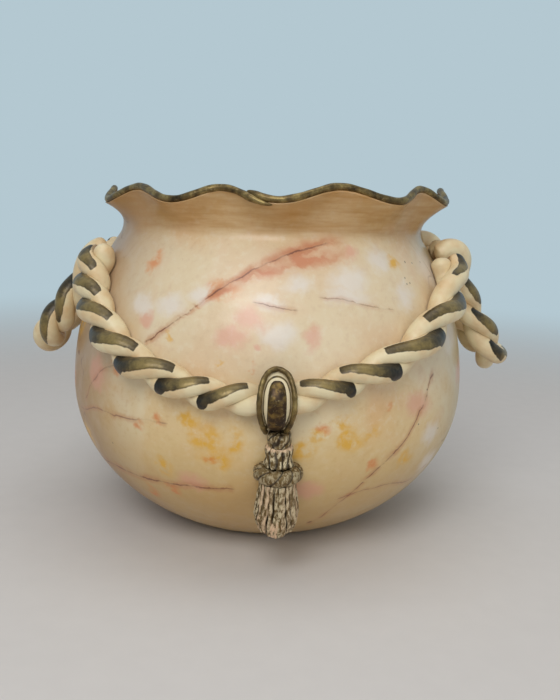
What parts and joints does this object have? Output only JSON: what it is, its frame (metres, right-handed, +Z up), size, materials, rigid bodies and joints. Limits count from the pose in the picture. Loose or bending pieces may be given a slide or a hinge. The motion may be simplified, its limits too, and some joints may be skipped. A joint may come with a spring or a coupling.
{
  "type": "ruffled planter vase",
  "caption": "Round-bellied ceramic planter with a ruffled lip, twisted rope garlands that end in tassels, and two rope loop handles.",
  "frame": {"origin": "centre of the flat base, on the axis of the bowl and on the surface that the pot stands on", "axes": "+Z up, +X towards the right handle, -Y towards the front tassel"},
  "size_m": [0.3601, 0.3386, 0.2493],
  "materials": {
    "marbled_glaze": "satin",
    "cream_clay": "satin",
    "bronze_wash": "satin metallic paint"
  },
  "bodies": {
    "root": {"bowl": "marbled_glaze", "rim_bead": "bronze_wash", "left_handle_strand_a": "cream_clay", "left_handle_strand_b": "cream_clay", "right_handle_strand_a": "cream_clay", "right_handle_strand_b": "cream_clay", "front_garland_left_strand_a": "cream_clay", "front_garland_left_strand_b": "cream_clay", "front_garland_right_strand_a": "cream_clay", "front_garland_right_strand_b": "cream_clay", "back_garland_left_strand_a": "cream_clay", "back_garland_left_strand_b": "cream_clay", "back_garland_right_strand_a": "cream_clay", "back_garland_right_strand_b": "cream_clay", "front_tassel_loop": "cream_clay", "front_tassel_loop_bead": "bronze_wash", "front_tassel_tongue": "bronze_wash", "front_tassel_binding": "bronze_wash", "front_tassel_head": "bronze_wash", "front_tassel_collar": "bronze_wash", "front_tassel_skirt": "bronze_wash", "back_tassel_loop": "cream_clay", "back_tassel_loop_bead": "bronze_wash", "back_tassel_tongue": "bronze_wash", "back_tassel_binding": "bronze_wash", "back_tassel_head": "bronze_wash", "back_tassel_collar": "bronze_wash", "back_tassel_skirt": "bronze_wash"}
  },
  "joints": []
}
